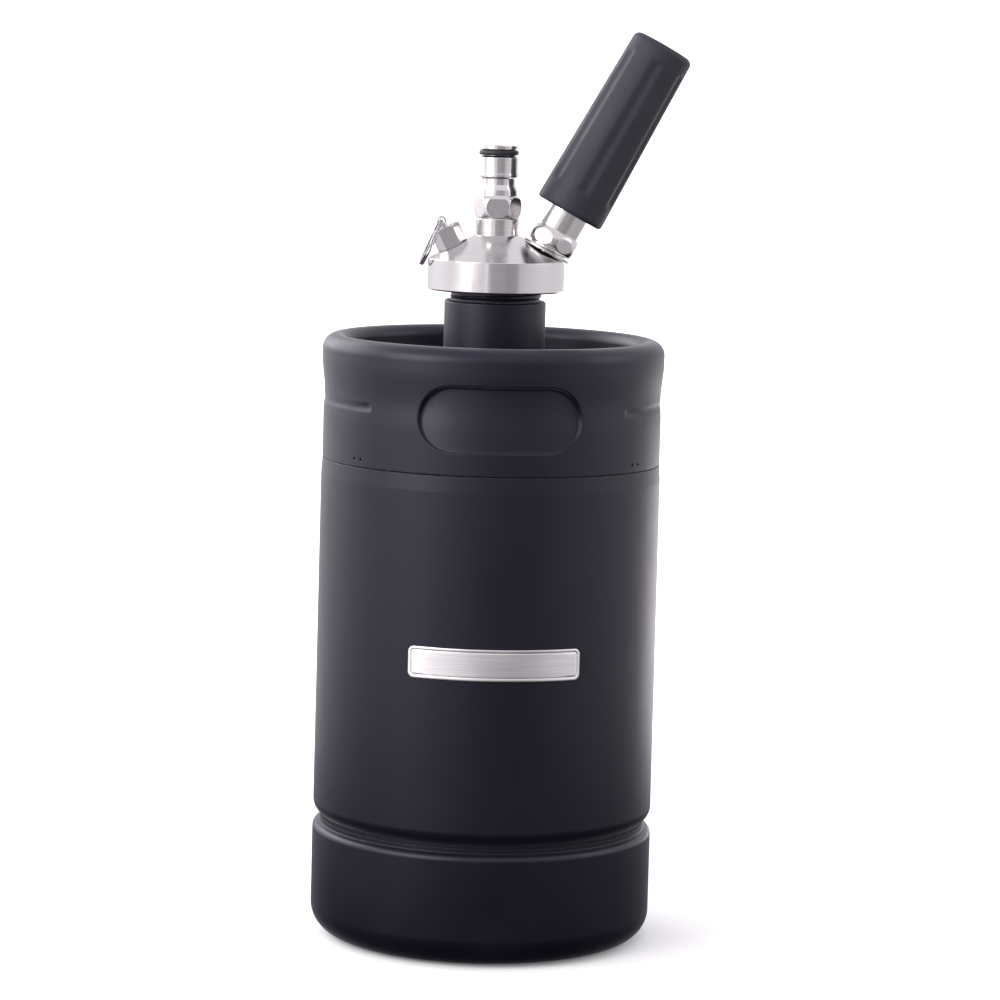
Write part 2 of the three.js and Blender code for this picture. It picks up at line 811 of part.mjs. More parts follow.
// the steel bulb, open only where the pin has pierced the end of its neck
function gasBulb() {
  const holeR = 1.5;
  const endCentre = BULB_TOP - BULB_R;
  const inR = BULB_R - BULB_WALL;
  const neckInR = BULB_NECK_R - BULB_WALL;
  return turned([
    ...arc(0, endCentre, BULB_R, 90, 0, 3),
    point(BULB_R, 38),
    point(10.4, 33.5),
    point(8.8, 29.5),
    point(6.7, 25.5),
    point(5.1, 22),
    point(BULB_NECK_R, 19.5),
    point(BULB_NECK_R, BULB_LOW + 0.5),
    point(BULB_NECK_R - 0.5, BULB_LOW),
    point(holeR, BULB_LOW),
    point(holeR, BULB_LOW + BULB_WALL),
    point(neckInR, BULB_LOW + BULB_WALL),
    point(neckInR, 21),
    point(4.6, 26),
    point(7, 31),
    point(inR, 39),
    ...arc(0, endCentre, inR, 0, 90, 3),
  ], 20);
}

// the metal cup that pushes the bulb: threaded mouth, plain bore, closed end
function holderSleeve() {
  const outR = GRIP_BORE_R - GAP;
  const low = 23;
  const boreR = BULB_R + 0.4;
  const end = BULB_TOP + 0.4;
  return turned([
    point(0, end),
    point(boreR - 3, end),
    point(boreR, end - 4),
    point(boreR, 29),
    point(10.3, 28.4),
    point(10.3, low),
    point(outR, low),
    point(outR, end - 3.4),
    point(outR - 3, end + 1),
    point(0, end + 1),
  ], MEDIUM);
}

// the grip's radius between its rounded ends, which tapers towards the top
function gripRadius(z) {
  const low = GRIP_LOW + GRIP_EDGE;
  const high = GRIP_TOP - GRIP_TOP_ROUND;
  return GRIP_LOW_R + ((GRIP_TOP_R - GRIP_LOW_R) * (z - low)) / (high - low);
}

// the rubber sleeve over it, with narrow flutes between its two plain ends
function holderGrip() {
  const inside = BULB_TOP + 2.1;
  const blank = turned([
    point(0, inside),
    point(9.5, inside),
    point(GRIP_BORE_R, inside - 4.7),
    point(GRIP_BORE_R, GRIP_LOW),
    point(GRIP_LOW_R - GRIP_EDGE, GRIP_LOW),
    ...arc(GRIP_LOW_R - GRIP_EDGE, GRIP_LOW + GRIP_EDGE, GRIP_EDGE, -45, 0, 1),
    ...arc(GRIP_TOP_R - GRIP_TOP_ROUND, GRIP_TOP - GRIP_TOP_ROUND, GRIP_TOP_ROUND, 0, 90, 4),
    point(0, GRIP_TOP),
  ], MEDIUM);
  const [low, high] = [FLUTE_LOW, FLUTE_TOP].map((z) =>
    [0, FLUTE_DEPTH - FLUTE_ROUND - gripRadius(z), z]);
  const flute = rod(low, high, FLUTE_ROUND, SMALL);
  let grip = blank;
  for (let i = 0; i < FLUTES; i += 1) {
    grip = grip.subtract(flute.rotate([0, 0, (360 * i) / FLUTES]));
  }
  return grip;
}

function checkBall() {
  const geometry = new THREE.SphereGeometry(1.5, 12, 8);
  geometry.translate(0, 0, 3.8);
  return solid(geometry);
}

add('adapter_seal_ring', washer(4.4, 12, GAS_SEAT + GAP, 0.7, MEDIUM), steel, gas);
add('gas_adapter', gasAdapter(), steel, gas);
add('check_ball', checkBall(), springSteel, gas);
add('check_spring', spring(1.8, 0.5, -3.6, 1, 3), springSteel, gas);
add('piercing_pin', piercingPin(), springSteel, gas);
add('bulb_seal', washer(1.5, 4.8, 9.2, 10.3, SMALL), sealRubber, gas);
add('co2_bulb', gasBulb(), bulbSteel, gas);
add('holder_sleeve', holderSleeve(), tankSteel, gas);
add('holder_grip', holderGrip(), gripRubber, gas);

export default keg;
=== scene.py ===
"""Insulated mini beer keg with a ball-lock spear: its looks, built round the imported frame.

Lengths in this script are millimetres in the keg's own frame, and meshes are made in metres.
+Z is up and the front faces -Y. The relief valve leans towards -X, the bulb holder towards +X.
A profile is a list of (radius, height) points. A third number rounds that corner by that radius.
"""

import json
import math

import bmesh
import bpy
import numpy as np
from mathutils import Matrix, Quaternion, Vector

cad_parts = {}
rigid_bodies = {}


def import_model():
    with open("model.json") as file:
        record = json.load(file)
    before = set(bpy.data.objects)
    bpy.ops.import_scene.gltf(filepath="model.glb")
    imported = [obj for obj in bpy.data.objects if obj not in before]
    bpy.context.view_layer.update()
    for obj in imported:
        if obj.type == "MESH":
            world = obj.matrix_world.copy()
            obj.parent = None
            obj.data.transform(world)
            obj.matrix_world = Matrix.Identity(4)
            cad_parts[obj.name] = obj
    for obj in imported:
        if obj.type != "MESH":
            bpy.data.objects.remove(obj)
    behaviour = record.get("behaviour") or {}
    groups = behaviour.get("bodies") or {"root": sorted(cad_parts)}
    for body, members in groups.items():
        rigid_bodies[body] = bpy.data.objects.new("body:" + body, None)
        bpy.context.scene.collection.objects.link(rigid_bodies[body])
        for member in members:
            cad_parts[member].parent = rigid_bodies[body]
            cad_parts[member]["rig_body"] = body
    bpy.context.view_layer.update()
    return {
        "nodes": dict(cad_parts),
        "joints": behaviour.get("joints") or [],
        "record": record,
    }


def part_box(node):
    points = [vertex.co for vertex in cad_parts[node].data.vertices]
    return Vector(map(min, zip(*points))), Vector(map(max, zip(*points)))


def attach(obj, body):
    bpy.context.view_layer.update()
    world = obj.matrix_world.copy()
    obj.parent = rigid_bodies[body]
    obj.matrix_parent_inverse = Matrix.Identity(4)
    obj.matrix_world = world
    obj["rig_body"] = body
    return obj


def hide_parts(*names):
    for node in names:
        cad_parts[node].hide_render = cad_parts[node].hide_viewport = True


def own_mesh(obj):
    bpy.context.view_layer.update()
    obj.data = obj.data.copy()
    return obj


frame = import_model()

MM = 0.001
MERGE = 1e-6  # metres within which two points are one
FULL_TURN = 2 * math.pi
SHEET = 1.2  # thickness of the pressed steel shells


# ---- what the frame says ------------------------------------------------------------------


def joint(name):
    return next(j for j in frame["joints"] if j["name"] == name)


def turned_size(node):
    """Largest radius, lowest and highest point of a CAD node turned about the keg's axis."""
    low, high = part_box(node)
    return high.x / MM, low.z / MM, high.z / MM


def tilted(axis, point, height):
    """The frame of a tilted assembly: its Z is the axis, and the point lies at that height."""
    z = Vector(axis).normalized()
    y = Vector((0, 1, 0))
    turn = Matrix((y.cross(z), y, z)).transposed().to_4x4()
    return Matrix.Translation(Vector(point) - z * height * MM) @ turn


EYE_HEIGHT = 12.3  # the stem's eye, above the relief valve's seat
HOLDER_HEIGHT = 20  # the point on the gas axis that the holder's joint names
relief = tilted(joint("relief_pull")["axis"], joint("ring_swing")["pos_m"], EYE_HEIGHT)
gas = tilted(joint("bulb_withdraw")["axis"], joint("holder_turn")["pos_m"], HOLDER_HEIGHT)


# ---- camera, light and floor --------------------------------------------------------------


def make_camera():
    """The camera stands a little to the left of the front and above the keg, and rolls slightly."""
    azimuth = math.radians(-3.2)
    pitch = math.radians(6.9)
    roll = math.radians(1.55)
    distance, height, sideways = 1700, 404.5, 4.6
    right = Vector((math.cos(azimuth), math.sin(azimuth), 0))
    away = Vector((math.sin(azimuth), -math.cos(azimuth), 0))
    forward = -away * math.cos(pitch) - Vector((0, 0, math.sin(pitch)))
    camera = bpy.data.objects.new("camera", bpy.data.cameras.new("camera"))
    camera.data.sensor_width = 36
    camera.data.lens = 136.15
    camera.data.clip_end = 20
    camera.location = (away * distance + right * sideways + Vector((0, 0, height))) * MM
    camera.rotation_mode = "QUATERNION"
    turn = Quaternion((0, 0, 1), roll)
    camera.rotation_quaternion = forward.to_track_quat("-Z", "Y") @ turn
    bpy.context.scene.collection.objects.link(camera)
    bpy.context.scene.camera = camera


def round_the_keg(azimuth, distance, height):
    """A point that far from the keg's axis, in metres; azimuth 0 is the front, 90 is +X."""
    a = math.radians(azimuth)
    return Vector((distance * math.sin(a), -distance * math.cos(a), height))


def soft_light(name, azimuth, distance, height, size, watts, colour, aim):
    """A rectangular lamp, in metres, that points at a height of aim on the keg's axis."""
    light = bpy.data.lights.new(name, "AREA")
    light.shape = "RECTANGLE"
    light.size, light.size_y = size
    light.energy = watts
    light.color = colour
    lamp = bpy.data.objects.new(name, light)
    lamp.location = round_the_keg(azimuth, distance, height)
    lamp.rotation_mode = "QUATERNION"
    towards = Vector((0, 0, aim)) - lamp.location
    lamp.rotation_quaternion = towards.to_track_quat("-Z", "Y")
    lamp.visible_camera = False
    bpy.context.scene.collection.objects.link(lamp)


def surroundings(world):
    """A pale room: dark behind the camera and below, brightest on the left."""
    world.use_nodes = True
    tree = world.node_tree
    direction = add_node(tree, "TexCoord").outputs["Generated"]
    split = add_node(tree, "SeparateXYZ", {"Vector": direction})
    front = math_node(tree, "MULTIPLY", split.outputs["Y"], -1)
    azimuth = math_node(tree, "ARCTAN2", split.outputs["X"], front)
    whole_turn = {"From Min": -math.pi, "From Max": math.pi}
    turn = add_node(tree, "MapRange", {"Value": azimuth}, whole_turn)
    round_about = add_node(tree, "ValToRGB", {"Fac": turn.outputs["Result"]})
    stops = (  # (azimuth in degrees, brightness)
        (-180, 0.42), (-150, 0.55), (-125, 0.66), (-80, 0.58), (-66, 0.66), (-62, 0.86),
        (-46, 0.9), (-44, 0.56), (-24, 0.5), (-20.5, 0.3), (-19.8, 0.9), (-17, 0.9),
        (-16.3, 0.25), (13, 0.25), (14, 0.21), (34, 0.22), (36, 0.38), (66, 0.48),
        (105, 0.5), (150, 0.48), (180, 0.42),
    )
    shades = round_about.color_ramp
    while len(shades.elements) < len(stops):
        shades.elements.new(0.5)
    for stop, (degrees, level) in zip(shades.elements, stops):
        stop.position = (degrees + 180) / 360
        stop.color = (level, level * 0.965, level, 1)
    overhead = add_node(tree, "Mix", data_type="RGBA")
    tree.links.new(ramp(tree, split.outputs["Z"], 0.1, 0.55), overhead.inputs[0])
    tree.links.new(round_about.outputs["Color"], overhead.inputs[6])
    overhead.inputs[7].default_value = (0.56, 0.545, 0.565, 1)
    height = ramp(tree, split.outputs["Z"], -0.8, -0.12, 0.6, 2)
    sky = tree.nodes["Background"]
    tree.links.new(overhead.outputs[2], sky.inputs["Color"])
    tree.links.new(height, sky.inputs["Strength"])


def make_studio():
    scene = bpy.context.scene
    scene.view_settings.view_transform = "Standard"
    scene.world = bpy.data.worlds.new("studio")
    surroundings(scene.world)
    soft_light("key", -55, 1.0, 0.66, (0.8, 0.7), 8, (1, 0.985, 0.98), 0.25)
    soft_light("side_left", -128, 0.95, 0.64, (1.1, 0.66), 7, (1, 0.98, 1), 0.25)
    soft_light("side_right", 84, 1.1, 0.68, (0.6, 0.7), 1.9, (0.98, 0.97, 1), 0.25)
    soft_light("low_right", 145, 0.8, 0.04, (0.5, 0.2), 0.6, (1, 0.97, 1), 0.05)


def dark_table():
    """What the lower part of the keg reflects: a dark disc under it, with no image or shadow."""
    table = revolve("dark_table", [(0, 0), (200, 0), (480, 0)], closed=False, segments=64)
    mat, _, shader = principled("dark_table", Roughness=1, Specular_IOR_Level=0)
    shader.inputs["Base Color"].default_value = (0, 0, 0, 1)
    table.data.materials.append(mat)
    table.visible_camera = False
    table.visible_diffuse = False
    table.visible_shadow = False


def make_floor():
    """A pale floor that is flat round the keg and curves up far away, past every camera. It glows
    with painted light: faintly round the keg and strongly far off.
    """
    flat, bend, wall = 1600, 1600, 3400
    points = [(0, -0.2), (200, -0.2), (600, -0.2), (flat, -0.2)]
    points += [
        (flat + bend * math.sin(a), bend * (1 - math.cos(a)) - 0.2)
        for a in np.radians(np.linspace(7.5, 90, 12))
    ]
    points += [(flat + bend, wall)]
    floor = revolve("floor", points, closed=False, segments=96)
    mat, tree, shader = principled("floor_paper_glow", Roughness=0.9, Specular_IOR_Level=0.1)
    place = object_place(tree)
    grain = noise(tree, place, scale=180, detail=3)
    tint(tree, shader, grain, (0.87, 0.87, 0.872), (0.9, 0.9, 0.9))
    bump(tree, shader, grain, strength=0.05, distance=0.0001)
    reach = add_node(tree, "VectorMath", {0: place}, operation="LENGTH").outputs["Value"]
    # Painted light: the floor glows, faintly near the keg and strongly far off, so it reads white
    # around the lamps' real contact shadow.
    shader.inputs["Emission Color"].default_value = (1, 1, 1, 1)
    tree.links.new(ramp(tree, reach, 0.12, 1.2, 0.12, 0.9), shader.inputs["Emission Strength"])
    floor.data.materials.append(mat)
    floor.visible_glossy = False
    floor.visible_diffuse = False
    floor.visible_shadow = False


# ---- finishes -----------------------------------------------------------------------------


def principled(name, **values):
    """A new Principled material with these uniform values; underscores stand for spaces."""
    mat = bpy.data.materials.new(name)
    mat.use_nodes = True
    shader = mat.node_tree.nodes["Principled BSDF"]
    for socket, value in values.items():
        shader.inputs[socket.replace("_", " ")].default_value = value
    return mat, mat.node_tree, shader


def add_node(tree, kind, links=None, values=None, **settings):
    made = tree.nodes.new("ShaderNode" + kind)
    for key, value in settings.items():
        setattr(made, key, value)
    for key, value in (values or {}).items():
        made.inputs[key].default_value = value
    for key, output in (links or {}).items():
        tree.links.new(output, made.inputs[key])
    return made


def object_place(tree):
    return add_node(tree, "TexCoord").outputs["Object"]


def noise(tree, place, scale, detail=2.0, rough=0.5, stretch=None):
    """Noise between 0 and 1 with scale features a metre; stretch squeezes it along the axes."""
    if stretch:
        mapping = add_node(tree, "Mapping", {"Vector": place}, {"Scale": stretch})
        place = mapping.outputs["Vector"]
    values = {"Scale": scale, "Detail": detail, "Roughness": rough}
    return add_node(tree, "TexNoise", {"Vector": place}, values).outputs["Fac"]


def ramp(tree, value, low, high, to_low=0.0, to_high=1.0):
    values = {"From Min": low, "From Max": high, "To Min": to_low, "To Max": to_high}
    made = add_node(tree, "MapRange", {"Value": value}, values, interpolation_type="SMOOTHSTEP")
    return made.outputs["Result"]


def math_node(tree, operation, first, second):
    made = add_node(tree, "Math", operation=operation)
    for socket, value in zip(made.inputs, (first, second)):
        if isinstance(value, bpy.types.NodeSocket):
            tree.links.new(value, socket)
        else:
            socket.default_value = value
    return made.outputs[0]


def tint(tree, shader, value, dark, light, low=0.3, high=0.7):
    """Base colour that goes from dark to light as the value goes from low to high."""
    blend = add_node(tree, "Mix", data_type="RGBA")
    tree.links.new(ramp(tree, value, low, high), blend.inputs[0])
    blend.inputs[6].default_value = (*dark, 1)
    blend.inputs[7].default_value = (*light, 1)
    tree.links.new(blend.outputs[2], shader.inputs["Base Color"])


def roughen(tree, shader, value, smooth, rough):
    """Roughness that goes from smooth to rough as the value goes from 0.3 to 0.7."""
    tree.links.new(ramp(tree, value, 0.3, 0.7, smooth, rough), shader.inputs["Roughness"])


def bump(tree, shader, value, strength, distance):
    links = {"Height": value}
    made = add_node(tree, "Bump", links, {"Strength": strength, "Distance": distance})
    tree.links.new(made.outputs["Normal"], shader.inputs["Normal"])


def mixture(tree, first, share, second):
    """share of the first value, and the rest of the second."""
    one = math_node(tree, "MULTIPLY", first, share)
    other = math_node(tree, "MULTIPLY", second, 1 - share)
    return math_node(tree, "ADD", one, other)


def turning_place(tree):
    """Coordinates (distance from the axis, height), which are the same all the way round."""
    split = add_node(tree, "SeparateXYZ", {"Vector": object_place(tree)})
    flat = add_node(tree, "CombineXYZ", {"X": split.outputs["X"], "Y": split.outputs["Y"]})
    reach = add_node(tree, "VectorMath", {0: flat.outputs["Vector"]}, operation="LENGTH")
    links = {"X": reach.outputs["Value"], "Y": split.outputs["Z"]}
    return add_node(tree, "CombineXYZ", links).outputs["Vector"]


def powder_coat():
    """Black powder coat: a fine pebbled grain, with soft clouds in colour and gloss."""
    mat, tree, shader = principled(
        "powder_coat", Specular_IOR_Level=0.4, Specular_Tint=(0.88, 0.87, 1, 1),
        Sheen_Weight=0.2, Sheen_Roughness=0.3, Sheen_Tint=(0.95, 0.92, 1, 1),
    )
    place = object_place(tree)
    grain = noise(tree, place, 1500, 3, 0.6)
    clouds = noise(tree, place, 22, 3)
    mottle = mixture(tree, grain, 0.35, clouds)
    tint(tree, shader, mottle, (0.0021, 0.0021, 0.0075), (0.0038, 0.0036, 0.0105))
    roughen(tree, shader, clouds, 0.38, 0.44)
    bump(tree, shader, grain, 0.35, 0.00006)
    return mat


def steel(name, dark, light, smooth, rough, lines, line_depth, aniso=0.4):
    """Stainless steel turned about Z: rings left by the tool, smudges that change its gloss."""
    mat, tree, shader = principled(name, Metallic=1, Anisotropic=aniso)
    rings = noise(tree, turning_place(tree), lines, 3, 0.65)
    smudges = noise(tree, object_place(tree), 90, 3)
    tint(tree, shader, rings, dark, light, 0.25, 0.75)
    roughen(tree, shader, mixture(tree, rings, 0.4, smudges), smooth, rough)
    bump(tree, shader, rings, 0.25, line_depth)
    tangent = add_node(tree, "Tangent", direction_type="RADIAL", axis="Z")
    tree.links.new(tangent.outputs["Tangent"], shader.inputs["Tangent"])
    return mat


def wire_steel():
    """Drawn wire: bright, with faint streaks and small pits."""
    mat, tree, shader = principled("spring_steel", Metallic=1)
    streaks = noise(tree, object_place(tree), 1200, 2, 0.6)
    tint(tree, shader, streaks, (0.36, 0.34, 0.37), (0.46, 0.44, 0.47))
    roughen(tree, shader, streaks, 0.28, 0.38)
    bump(tree, shader, streaks, 0.1, 0.000004)
    return mat


def badge_steel():
    """Plate metal brushed along its length."""
    mat, tree, shader = principled("badge_steel", Metallic=1)
    place = object_place(tree)
    brushing = noise(tree, place, 900, 3, 0.7, (0.05, 0.05, 2.2))
    clouds = noise(tree, place, 60, 2)
    tint(tree, shader, brushing, (0.74, 0.71, 0.73), (0.92, 0.9, 0.91), 0.25, 0.75)
    roughen(tree, shader, clouds, 0.3, 0.4)
    bump(tree, shader, brushing, 0.3, 0.00001)
    return mat


def rubber(name, dark, light, smooth, rough, scale, depth, specular=0.4):
    """Moulded rubber with a fine grain, whose colour and gloss vary in soft clouds."""
    mat, tree, shader = principled(name, Specular_IOR_Level=specular)
    place = object_place(tree)
    grain = noise(tree, place, scale, 4, 0.6)
    clouds = noise(tree, place, 45, 3)
    tint(tree, shader, mixture(tree, grain, 0.45, clouds), dark, light)
    roughen(tree, shader, clouds, smooth, rough)
    bump(tree, shader, grain, 0.4, depth)
    return mat


def cast_metal():
    """Grey porous metal."""
    mat, tree, shader = principled("getter_metal", Metallic=0.8)
    grain = noise(tree, object_place(tree), 700, 4, 0.65)
    tint(tree, shader, grain, (0.2, 0.19, 0.18), (0.34, 0.33, 0.31))
    roughen(tree, shader, grain, 0.5, 0.68)
    bump(tree, shader, grain, 0.5, 0.00005)
    return mat


FINISHES = {
    "powder_coat": powder_coat(),
    "turned_steel": steel(
        "turned_steel", (0.56, 0.543, 0.55), (0.64, 0.62, 0.628), 0.15, 0.23,
        lines=2600, line_depth=0.0000012, aniso=0.15,
    ),
    "tank_steel": steel(
        "tank_steel", (0.5, 0.5, 0.51), (0.64, 0.64, 0.65), 0.26, 0.4,
        lines=2400, line_depth=0.000008,
    ),
    "bulb_steel": steel(
        "bulb_steel", (0.52, 0.52, 0.54), (0.66, 0.66, 0.68), 0.2, 0.34,
        lines=500, line_depth=0.00001, aniso=0.2,
    ),
    "badge_steel": badge_steel(),
    "spring_steel": wire_steel(),
    "getter_metal": cast_metal(),
    "seal_rubber": rubber(
        "seal_rubber", (0.008, 0.008, 0.011), (0.016, 0.016, 0.02), 0.35, 0.5,
        scale=1800, depth=0.00002,
    ),
    "grip_rubber": rubber(
        "grip_rubber", (0.021, 0.02, 0.029), (0.03, 0.028, 0.039), 0.5, 0.62,
        scale=2200, depth=0.00004, specular=0.3,
    ),
}


# ---- mesh helpers -------------------------------------------------------------------------


def arc(centre_r, centre_z, radius, start, end, step=6):
    """Points of a circular arc in a profile, from one angle to another in degrees."""
    count = max(2, math.ceil(abs(end - start) / step))
    angles = np.radians(np.linspace(start, end, count + 1))
    return [(centre_r + radius * math.cos(a), centre_z + radius * math.sin(a)) for a in angles]


def rounded(corners):
    """The points of a profile, with an arc in place of each corner that has a third number."""
    points = []
    for i, corner in enumerate(corners):
        here = np.array(corner[:2], float)
        if len(corner) == 2:
            points.append(here)
            continue
        radius = corner[2]
        back = np.array(corners[i - 1][:2], float) - here
        ahead = np.array(corners[(i + 1) % len(corners)][:2], float) - here
        back /= np.linalg.norm(back)
        ahead /= np.linalg.norm(ahead)
        half = math.acos(float(np.clip(back @ ahead, -1, 1))) / 2
        middle = (back + ahead) / np.linalg.norm(back + ahead)
        centre = here + middle * radius / math.sin(half)
        first = here + back * radius / math.tan(half) - centre
        last = here + ahead * radius / math.tan(half) - centre
        turn = math.pi - 2 * half
        for t in np.linspace(0, 1, max(2, math.ceil(math.degrees(turn) / 12)) + 1):
            swing = math.sin((1 - t) * turn) * first + math.sin(t * turn) * last
            points.append(centre + swing / math.sin(turn))
    return points


def spaced(points, step, closed=True):
    """The same profile with more points, none further apart than step."""
    points = [np.array(p[:2], float) for p in points]
    following = points[1:] + points[:1] if closed else points[1:]
    result = []
    for here, there in zip(points, following):
        count = max(1, math.ceil(np.linalg.norm(there - here) / step))
        result += [here + (there - here) * k / count for k in range(count)]
    return result if closed else result + [points[-1]]


def smooth_step(value, low, high):
    t = np.clip((value - low) / (high - low), 0, 1)
    return t * t * (3 - 2 * t)


def piece(name, points, faces):
    """A smooth mesh object from points in millimetres, merged where they coincide."""
    mesh = bpy.data.meshes.new(name)
    mesh.from_pydata((np.asarray(points) * MM).tolist(), [], faces)
    shape = bmesh.new()
    shape.from_mesh(mesh)
    bmesh.ops.remove_doubles(shape, verts=shape.verts, dist=MERGE)
    bmesh.ops.recalc_face_normals(shape, faces=shape.faces)
    for face in shape.faces:
        face.smooth = True
    shape.to_mesh(mesh)
    shape.free()
    made = bpy.data.objects.new(name, mesh)
    bpy.context.scene.collection.objects.link(made)
    return made


def grid_faces(rows, columns, close_rows, skip=()):
    """Quads of a grid that closes on itself round its columns, and round its rows if asked."""
    faces = []
    for i in range(rows if close_rows else rows - 1):
        for j in range(columns):
            if (i, j) in skip:
                continue
            k = (i + 1) % rows
            m = (j + 1) % columns
            faces.append((i * columns + j, i * columns + m, k * columns + m, k * columns + j))
    return faces


def revolve(name, profile, closed=True, segments=128, shape=None):
    """A piece turned about Z. An open profile starts and ends on the axis.
    shape(angle, r, z) gives the radius where the piece isn't round; all are arrays."""
    rz = np.array([tuple(p[:2]) for p in profile], float)
    angle, r = np.meshgrid(np.arange(segments) * FULL_TURN / segments, rz[:, 0])
    z = np.repeat(rz[:, 1:], segments, axis=1)
    if shape:
        r = shape(angle, r, z)
    points = np.stack([r * np.cos(angle), r * np.sin(angle), z], -1).reshape(-1, 3)
    return piece(name, points, grid_faces(len(rz), segments, closed))


def sweep(name, path, section):
    """A rod along a path of points, with a section of (outwards, along Z) points, closed ends."""
    path = np.asarray(path, float)
    ahead = np.gradient(path, axis=0)
    ahead /= np.linalg.norm(ahead, axis=1)[:, None]
    out = path * (1, 1, 0)
    out /= np.linalg.norm(out, axis=1)[:, None]
    up = np.cross(ahead, out)
    up /= np.linalg.norm(up, axis=1)[:, None]
    section = np.array(section)
    count = len(section)
    end_scales = (0.001, 0.7, 0.93)
    stations = [(0, scale) for scale in end_scales]
    stations += [(i, 1) for i in range(len(path))]
    stations += [(-1, scale) for scale in end_scales[::-1]]
    rings = []
    for index, scale in stations:
        around = section[:, :1] * out[index] + section[:, 1:] * up[index]
        rings.append(path[index] + scale * around)
    faces = grid_faces(len(rings), count, False)
    return piece(name, np.concatenate(rings), faces)


def combine(target, tool, operation):
    """target becomes its union or difference with tool, and tool goes away."""
    modifier = target.modifiers.new(operation, "BOOLEAN")
    modifier.object = tool
    modifier.operation = operation
    modifier.solver = "EXACT"
    bpy.context.view_layer.update()
    seen = target.evaluated_get(bpy.context.evaluated_depsgraph_get())
    mesh = bpy.data.meshes.new_from_object(seen)
    target.modifiers.clear()
    target.data = mesh
    bpy.data.objects.remove(tool)


def hexagon(across, turn):
    """The radius of a hexagon with one flat towards -Y, before it is turned by some degrees."""

    def radius(angle):
        sixth = FULL_TURN / 6
        from_flat = (angle + math.pi / 2 - math.radians(turn) + sixth / 2) % sixth - sixth / 2
        return across / 2 / np.cos(from_flat)

    return radius


def soft_minimum(a, b, sharpness=160):
    return (a**-sharpness + b**-sharpness) ** (-1 / sharpness)


def hex_between(low, high, inner, across, turn):
    """A shape for revolve: a hexagon cut on the outside of a turned blank between two heights."""
    flats = hexagon(across, turn)

    def shape(angle, r, z):
        cut = (z > low) & (z < high) & (r > inner)
        return np.where(cut, soft_minimum(np.maximum(r, 0.1), flats(angle)), r)

    return shape


def thread(low, high, inner, depth, pitch):
    """A shape for revolve: a helical ridge on the outside of a turned blank, fading at its ends."""

    def shape(angle, r, z):
        turn = ((z - low) / pitch - angle / FULL_TURN) % 1
        ridge = smooth_step(0.34 - np.abs(turn - 0.5), 0, 0.14)
        fade = smooth_step(z, low, low + pitch / 3) * smooth_step(-z, -high, -high + pitch / 4)
        return r + np.where(r > inner, depth * ridge * fade, 0)

    return shape


SLOTS = {s["node"]: s["material_slot"] for s in frame["record"]["subparts"]}
SHARP = math.radians(38)


def dress(made, node, place=None):
    """made stands for a CAD node: it takes the node's body, slot and finish."""
    if place is not None:
        made.matrix_world = place
    made.data.set_sharp_from_angle(angle=SHARP)
    modifier = made.modifiers.new("weighted", "WEIGHTED_NORMAL")
    modifier.keep_sharp = True
    made.data.materials.clear()
    made.data.materials.append(FINISHES[SLOTS[node]])
    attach(made, frame["nodes"][node]["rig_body"])
    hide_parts(node)


# ---- keg shells ---------------------------------------------------------------------------


def foot_ring():
    r, low, high = turned_size("foot_ring")
    round_r, shoulder, groove = 13, 2.8, 3.4
    inside = SHEET + 0.2
    flat_r = r - round_r
    top = high - 5.3
    dress(revolve("foot_ring_detail", rounded([
        (59.5, low, 0.4),
        *arc(flat_r, low + round_r, round_r, -90, 0, 4),
        *arc(r - shoulder, top, shoulder, 0, 72, 8),
        (r - groove, top + shoulder + 0.4, 0.5),
        (r - groove, high, 0.2),
        (r - groove - inside, high, 0.2),
        (r - groove - inside, top + 1.6, 1),
        (r - inside, top - 1.2, 1),
        *arc(flat_r, low + round_r, round_r - inside, 0, -90, 6),
        (59.5, low + inside, 0.3),
    ]), segments=288), "foot_ring")


def base_plate():
    r, low, _ = turned_size("base_plate")
    press = 1

    def face(z, shift):
        return [
            (28 + shift, z, 1.5),
            (30 + shift, z + press, 1.5),
            (46 - shift, z + press, 1.5),
            (48 - shift, z, 1.5),
        ]

    dress(revolve("base_plate_detail", rounded([
        (0, low),
        *face(low, 0),
        (r, low, 0.3),
        (r, low + SHEET, 0.3),
        *face(low + SHEET, 0.5)[::-1],
        (0, low + SHEET),
    ]), closed=False, segments=192), "base_plate")


def barrel_shell():
    r, low, high = turned_size("barrel_shell")
    round_r = 7
    lower_r = r - 3.2
    upper_r = r - 0.4
    start = -math.degrees(math.acos((lower_r - (r - round_r)) / round_r))
    middle = low + 7.5
    dress(revolve("barrel_shell_detail", rounded([
        (lower_r, low, 0.15),
        *arc(r - round_r, middle, round_r, start, 0, 4),
        (upper_r, high - 7, 12),
        (upper_r - 0.5, high, 0.2),
        (upper_r - 0.6 - SHEET, high, 0.3),
        (upper_r - SHEET, high - 4, 1),
        *arc(r - round_r, middle, round_r - SHEET, 0, start, 8),
        (lower_r - SHEET - 0.1, low, 0.3),
    ]), segments=288), "barrel_shell")


def steps(start, end, step):
    """Stations from start up to but not including end, about step apart."""
    count = max(1, round(abs(end - start) / step))
    return list(np.linspace(start, end, count, endpoint=False))


RECESS = {"z": 242, "length": 72.4, "height": 28.8, "tilt": 0.11}
CREASE = {"z": 244.3, "height": 5.4, "depth": 0.75, "half_angle": 42.5}
VENT = {"z": 221, "radius": 0.6, "angles": (51.8, 55.2)}
EDGE_OF_RECESS = [  # (outside the outline, below the surface)
    (2.2, 0),
    (1.1, 0),
    (0.55, 0.02),
    (0.22, 0.1),
    (0, 0.34),
    (-0.12, 0.9),
    (-0.24, 1.5),
    (-0.5, 1.95),
    (-1, 2.15),
    (-1.8, 2.2),
    (-4, 2.2),
    (-7.5, 2.2),
    (-11, 2.2),
]
EDGE_OF_VENT = [(0.5, 0), (0.15, 0.01), (0.03, 0.1), (0, 0.3), (0, 1.05), (-0.1, 1.1)]


